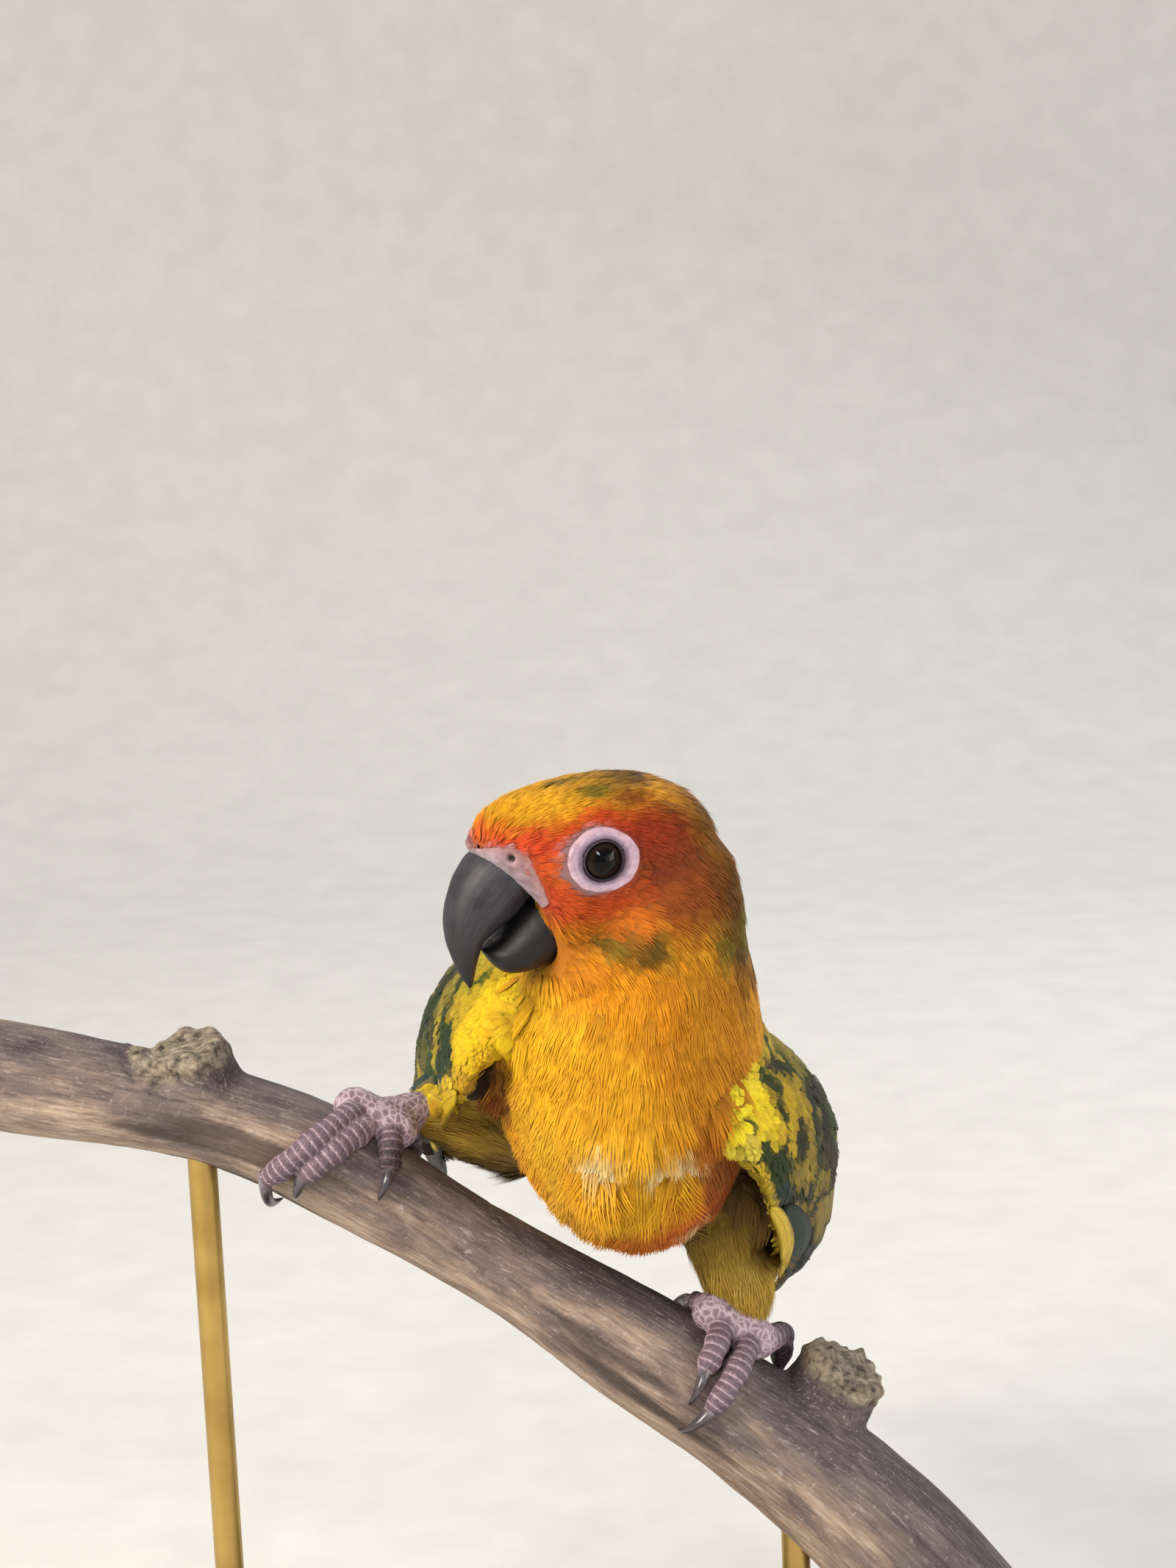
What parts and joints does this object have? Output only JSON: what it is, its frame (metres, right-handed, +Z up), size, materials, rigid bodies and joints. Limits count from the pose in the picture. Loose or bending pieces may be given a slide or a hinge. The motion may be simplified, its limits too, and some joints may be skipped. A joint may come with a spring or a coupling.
{
  "type": "sun conure display model",
  "caption": "Life-size sun conure gripping a short cut branch, its head turned to one side, held on a plain stand with a flat base and two rods.",
  "frame": {"origin": "centre of the stand base's underside", "axes": "+Z up, -Y towards the viewer the bird's breast faces, +X towards that viewer's right, along the branch's falling end"},
  "size_m": [0.1979, 0.2125, 0.2027],
  "materials": {
    "orange_plumage": "soft feathers, flame orange to red",
    "golden_plumage": "soft feathers, golden yellow",
    "wing_plumage": "bright yellow feathers with dark green markings and blue-black flight feathers",
    "tail_plumage": "olive green feathers with blue tips",
    "thigh_plumage": "olive yellow feathers",
    "cere_skin": "bare pale lilac skin",
    "bill_horn": "semi-gloss charcoal horn",
    "tongue_skin": "dark moist skin",
    "eye": "wet dark brown",
    "foot_scales": "greyish pink scales with pale edges",
    "claw_horn": "semi-gloss dark grey horn",
    "bark": "weathered grey-brown bark",
    "stand_wood": "satin dark-stained wood",
    "stand_brass": "satin brass"
  },
  "bodies": {
    "root": {"bill_lower": "bill_horn", "bill_upper": "bill_horn", "cere": "cere_skin", "claw_left_1": "claw_horn", "claw_left_2": "claw_horn", "claw_left_3": "claw_horn", "claw_left_4": "claw_horn", "claw_right_1": "claw_horn", "claw_right_2": "claw_horn", "claw_right_3": "claw_horn", "claw_right_4": "claw_horn", "eye_left": "eye", "eye_right": "eye", "foot_left": "foot_scales", "foot_right": "foot_scales", "head": "orange_plumage", "neck": "orange_plumage", "perch_branch": "bark", "stand_base": "stand_wood", "stand_collar_left": "stand_brass", "stand_collar_right": "stand_brass", "stand_rod_left": "stand_brass", "stand_rod_right": "stand_brass", "tail": "tail_plumage", "thigh_left": "thigh_plumage", "thigh_right": "thigh_plumage", "toe_left_1": "foot_scales", "toe_left_2": "foot_scales", "toe_left_3": "foot_scales", "toe_left_4": "foot_scales", "toe_right_1": "foot_scales", "toe_right_2": "foot_scales", "toe_right_3": "foot_scales", "toe_right_4": "foot_scales", "tongue": "tongue_skin", "trunk": "golden_plumage", "wing_left": "wing_plumage", "wing_right": "wing_plumage"}
  },
  "joints": []
}
